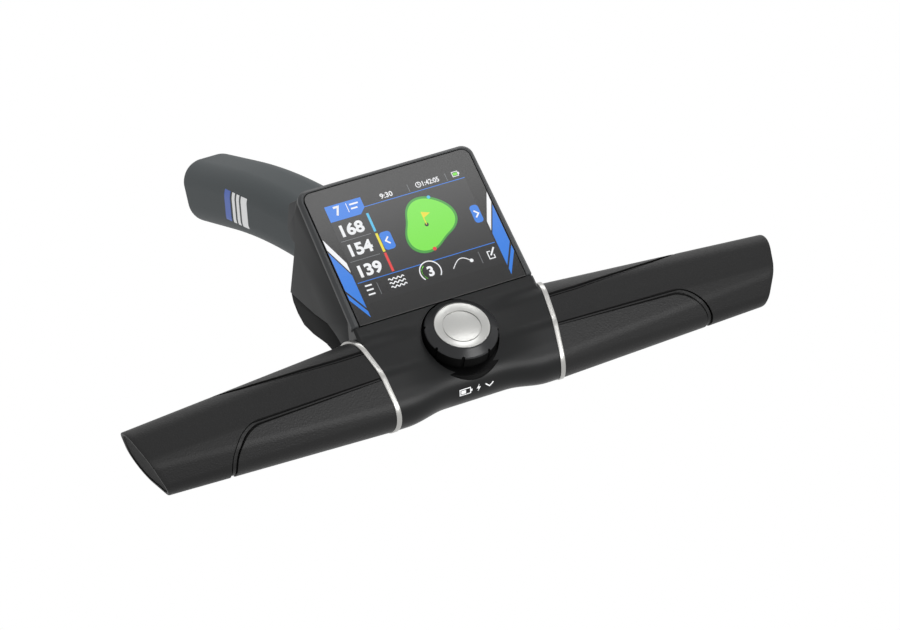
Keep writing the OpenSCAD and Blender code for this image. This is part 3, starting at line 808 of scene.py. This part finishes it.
def makeSoftened():
    for node, (name, body, slot, finish, width, segments) in softened.items():
        bm = bmesh.new()
        bm.from_mesh(frame["nodes"][node].data)
        bmesh.ops.remove_doubles(bm, verts=bm.verts, dist=0.002 * mm)
        bmesh.ops.dissolve_limit(bm, angle_limit=math.radians(0.6), verts=bm.verts, edges=bm.edges)
        sharp = [e for e in bm.edges if e.is_manifold and e.calc_face_angle(0) > math.radians(28)]
        bevelEdges(bm, sharp, width * mm, segments)
        settle(newObject(name, bm, finishes[finish], 32), body, [node])


def finishInside():
    for node, finish in insideSolids.items():
        kept = frame["nodes"][node].data
        kept.materials.clear()
        kept.materials.append(finishes[finish])


makeGlass()
makeBezel()
makeSoftened()
finishInside()
print("display and pod made")


# What the display shows: thin prints on the glass, one piece for each colour. Areas are (left, right, low,
# high) in millimetres from the middle of the glass's foot, and keys have a corner radius too. The bars
# beside the numbers share their sides and height, and have their low ends beside their colours.
screen = {"area": (-35.5, 35.5, 9.6, 62.2), "corner": 0.6, "layer": 0.02, "sunk": 0.05,
          "headerLine": 56.65, "footLine": 20.8, "lineWidth": 0.35, "sides": (36.4, 42.6)}
page = {"tab": [(-35.3, 53.6), (-19.8, 53.6), (-16.8, 56.5), (-16.8, 62), (-35.3, 62)],
        "keys": [(-16, -10.4, 32.5, 41.9, 1.7), (31, 35.4, 32.5, 41.9, 1.7)],
        "blueBands": [(19, 39.4, 25.4, 8), (14, 17.2, 6.2, 3)], "whiteBands": [(46.4, 41, 27, 32)],
        "bar": (-17.5, -16.3, 10), "bars": {"Cyan": 43.2, "Yellow": 32.2, "Red": 21.6},
        "dividers": [(-34.6, -19.4, 42.7, 43), (-34.6, -19.4, 31.7, 32), (7.1, 7.4, 57.4, 61.4),
                     (26.8, 27.1, 57.4, 61.4), (-26.9, -26.6, 12.4, 18.6), (25.6, 25.9, 12.4, 18.6)]}
course = {"middle": (9.3, 39.6), "radius": 12.1, "wide": 1.06, "waves": [(1.7, 2, -1.8), (1.25, 3, 0.5)],
          "fringe": 1.08, "green": 0.99, "hole": (8, 39.2, 1), "pole": [(8, 39.2), (8, 46)],
          "flag": [(8.2, 46), (8.2, 42.8), (12, 44.5)], "tee": (14.6, 52.2, 0.85), "ball": (6.6, 26.4, 0.95)}
# the dial's ring and its level are (radius, first angle, last angle, steps)
dial = {"middle": (0, 16.2), "back": 5, "ring": (5.2, -40, 220, 48), "level": (4.1, 120, 230, 32)}


def wave(v):
    return [(-21 + k * 0.25, v + 0.45 * math.sin(k * 0.7)) for k in range(33)]


# strokes are (points, width, closed), and numbers are (text, left, low, width, height, boldness)
signs = {
    "strokes": {
        "dial": (arc(*dial["middle"], *dial["ring"]), 0.55, False),
        "leftKey": ([(-12.3, 39), (-14.1, 37.2), (-12.3, 35.4)], 0.75, False),
        "rightKey": ([(32.4, 39), (34.2, 37.2), (32.4, 35.4)], 0.75, False),
        "noteSheet": ([(32.6, 15.2), (32.6, 13.4), (29.8, 13.4), (29.8, 17.2), (31.4, 17.2)], 0.45, False),
        "notePen": ([(31, 15), (33.8, 18.6)], 0.8, False),
        "clock": (arc(12.5, 59.7, 1.3, 0, 350, 28), 0.35, True),
        "clockHands": ([(12.5, 60.6), (12.5, 59.7), (13.2, 59.3)], 0.3, False),
        "battery": (block(30.3, 33.2, 58.5, 60.9), 0.3, True),
        "waveLow": (wave(14), 0.5, False), "waveMiddle": (wave(16), 0.5, False),
        "waveHigh": (wave(18), 0.5, False),
        "flight": ([(11 + k * 0.5, 14 + 4 * math.sin(k * math.pi / 22)) for k in range(20)], 0.4, False)},
    "blocks": {
        "menuLow": (-32.8, -29.4, 13.4, 14.15), "menuMiddle": (-32.8, -29.4, 15.7, 16.45),
        "menuHigh": (-32.8, -29.4, 18, 18.75), "tabHigh": (-23.3, -18.9, 59.4, 60.2),
        "tabLow": (-23.3, -20, 57.2, 58), "tabLine": (-24.9, -24.6, 56.2, 61),
        "batteryTip": (33.4, 33.9, 59.2, 60.2)},
    "charge": (30.7, 32.8, 59, 60.4), "landed": (21, 15.4, 0.9),
    "numbers": [("168", -32.6, 44.8, 11.6, 6.4, 0.036), ("154", -32.6, 34.2, 11.6, 6.4, 0.036),
                ("139", -32.6, 22.8, 11.6, 6.4, 0.036), ("7", -31.4, 56, 3.2, 5, 0.036),
                ("3", -1.4, 13.6, 3, 5.2, 0.036), ("9:30", -7.6, 58, 6.4, 2.7, 0.02),
                ("1:42:05", 14.6, 58.4, 8.6, 2.6, 0.02)]}


def figures(text, x, v, width, height, bold):  # numbers set to a box, made a mesh before they are placed
    curve = bpy.data.curves.new("figures", "FONT")
    curve.body, curve.size, curve.resolution_u, curve.offset = text, 1, 5, bold
    typed = bpy.data.objects.new("figures", curve)
    bpy.context.scene.collection.objects.link(typed)
    mesh = bpy.data.meshes.new_from_object(typed.evaluated_get(bpy.context.evaluated_depsgraph_get()))
    bpy.data.objects.remove(typed)
    low = [min(p.co[k] for p in mesh.vertices) for k in (0, 1)]
    high = [max(p.co[k] for p in mesh.vertices) for k in (0, 1)]
    scale = Matrix.Diagonal((width / (high[0] - low[0]), height / (high[1] - low[1]), 1, 1))
    mesh.transform(Matrix.Translation((x, v, 0)) @ scale @ Matrix.Translation((-low[0], -low[1], 0)))
    return mesh


def printed(name, ink, layer, outlines, texts=()):  # a higher layer stands a little prouder
    bm = bmesh.new()
    for points in outlines:
        bm.faces.new([bm.verts.new((x, v, 0)) for x, v in points])
    for mesh in texts:
        bm.from_mesh(mesh)
    bmesh.ops.remove_doubles(bm, verts=bm.verts, dist=0.0001)
    bmesh.ops.recalc_face_normals(bm, faces=bm.faces)
    for face in bm.faces:
        if face.normal.z < 0:
            face.normal_flip()
    lifted(bm, bm.faces[:], (0, 0, (layer + 1) * screen["layer"] + screen["sunk"]))
    bmesh.ops.translate(bm, vec=(0, 0, -screen["sunk"]), verts=bm.verts)
    bmesh.ops.recalc_face_normals(bm, faces=bm.faces)
    bmesh.ops.scale(bm, vec=(mm, mm, mm), verts=bm.verts)
    bmesh.ops.transform(bm, matrix=onGlass, verts=bm.verts)
    settle(newObject("screen" + name, bm, finishes["ink" + ink]), "frame", [])


def greenOutline(size):
    (x, v), points = course["middle"], []
    for k in range(96):
        t = k * math.tau / 96
        swells = [high * math.cos(count * t + shift) for high, count, shift in course["waves"]]
        r = size * (course["radius"] + sum(swells))
        points.append((x + r * course["wide"] * math.cos(t), v + r * math.sin(t)))
    return points


def bands(heights):  # slanted bands at both sides of the page, from the heights of their four corners
    near, far = screen["sides"]
    return [[(side * far, a), (side * far, b), (side * near, c), (side * near, d)]
            for side in (-1, 1) for a, b, c, d in heights]


def makePage():
    x0, x1, v0, v1 = screen["area"]
    top, foot, line = screen["headerLine"], screen["footLine"], screen["lineWidth"] / 2
    printed("Window", "Dark", 0, [rounded(x0, x1, v0, v1, screen["corner"])])
    printed("Page", "Page", 1, [block(x0, x1, foot, top)])
    lines = [block(page["tab"][2][0], x1, top - line, top + line), block(x0, x1, foot - line, foot + line)]
    printed("Blue", "Blue", 2, bands(page["blueBands"]) + [page["tab"]] + lines
            + [rounded(*key) for key in page["keys"]])
    left, right, high = page["bar"]
    for ink, low in page["bars"].items():
        printed(ink, ink, 2, [block(left, right, low, low + high)])


def makeCourse():
    printed("Fringe", "Moss", 2, [greenOutline(course["fringe"])])
    level = stroke(arc(*dial["middle"], *dial["level"]), 0.5)
    printed("Green", "Green", 3, [greenOutline(course["green"])] + level + [block(*signs["charge"])])
    printed("Hole", "Dark", 4, [disc(*course["hole"])])
    printed("Flag", "Yellow", 5, stroke(course["pole"], 0.5) + [course["flag"]])
    printed("SpotBlue", "Cyan", 4, [disc(*course["tee"])])
    printed("SpotRed", "Red", 4, [disc(*course["ball"])])


def makeSigns():
    printed("Ring", "Dark", 3, [disc(*dial["middle"], dial["back"])])
    outlines = [piece for line in signs["strokes"].values() for piece in stroke(*line)]
    outlines += [block(*area) for area in signs["blocks"].values()] + bands(page["whiteBands"])
    outlines.append(disc(*signs["landed"]))
    printed("White", "White", 6, outlines, [figures(*number) for number in signs["numbers"]])
    printed("Grey", "Grey", 2, [block(*divider) for divider in page["dividers"]])


makePage()
makeCourse()
makeSigns()
print("display shows its page")


camera = {"lens": 146.28, "sensor": 36, "azimuth": 24.393, "elevation": 32.083, "roll": -3.605,
          "place": (-0.5923, -1.5996, 0.9766)}


def makeCamera():
    data = bpy.data.cameras.new("camera")
    data.lens, data.sensor_width = camera["lens"], camera["sensor"]
    data.clip_start, data.clip_end = 0.05, 100
    viewer = bpy.data.objects.new("camera", data)
    bpy.context.scene.collection.objects.link(viewer)
    turn = (Matrix.Rotation(-math.radians(camera["azimuth"]), 4, "Z")
            @ Matrix.Rotation(math.radians(90 - camera["elevation"]), 4, "X")
            @ Matrix.Rotation(math.radians(camera["roll"]), 4, "Z"))
    viewer.matrix_world = Matrix.Translation(camera["place"]) @ turn
    bpy.context.scene.camera = viewer


# the pale floor, the world's light and the lamps, each with its place, its aim, its size and its power
stage = {"floor": 0.8, "half": 6, "low": -0.9, "world": 0.7}
lamps = {"topStrip": ((0.42, -0.46, 1.2), (0.42, -0.46, 0), (0.9, 0.085), 1.65),
         "frontSoft": ((0.42, -1.6, 0.6), (0, -0.3, 0.05), (0.9, 0.6), 13),
         "backSoft": ((0.5, 0.75, 0.85), (0, -0.05, 0.05), (0.8, 0.4), 3)}


def seenRays(f):  # 1 where a ray sees the background straight, in a gloss or through glass
    straight, glossy, through = (f.node("ShaderNodeLightPath", output="Is %s Ray" % kind)
                                 for kind in ("Camera", "Glossy", "Transmission"))
    return straight + glossy + through


def makeFloor():
    f = Finish(bpy.data.materials.new("paleFloor"))
    glow = f.node("ShaderNodeEmission", None, {"Color": grey(1), "Strength": 1})
    matt = f.node("ShaderNodeBsdfDiffuse", None, {"Color": grey(stage["floor"])})
    mixed = f.node("ShaderNodeMixShader", None, {0: seenRays(f), 1: matt, 2: glow})
    f.node("ShaderNodeOutputMaterial", None, {"Surface": mixed})
    bm = bmesh.new()
    bmesh.ops.create_grid(bm, x_segments=1, y_segments=1, size=stage["half"])
    bmesh.ops.translate(bm, vec=(0, 0, stage["low"]), verts=bm.verts)
    newObject("floor", bm, f.owner)


def makeWorld():
    f = Finish(bpy.data.worlds.new("studio"))
    light, seen = (f.node("ShaderNodeBackground", None, {"Color": grey(1), "Strength": strength})
                   for strength in (stage["world"], 1))
    mixed = f.node("ShaderNodeMixShader", None, {0: seenRays(f), 1: light, 2: seen})
    f.node("ShaderNodeOutputWorld", None, {"Surface": mixed})
    bpy.context.scene.world = f.owner


def makeLamps():
    for name, (place, aim, size, power) in lamps.items():
        data = bpy.data.lights.new(name, "AREA")
        data.shape, data.size, data.size_y, data.energy = "RECTANGLE", size[0], size[1], power
        light = bpy.data.objects.new(name, data)
        bpy.context.scene.collection.objects.link(light)
        light.location = place
        light.visible_camera = False
        light.rotation_euler = (Vector(aim) - Vector(place)).to_track_quat("-Z", "Y").to_euler()


makeCamera()
makeFloor()
makeWorld()
makeLamps()
bpy.context.scene.view_settings.view_transform = "Standard"
print("stage made")
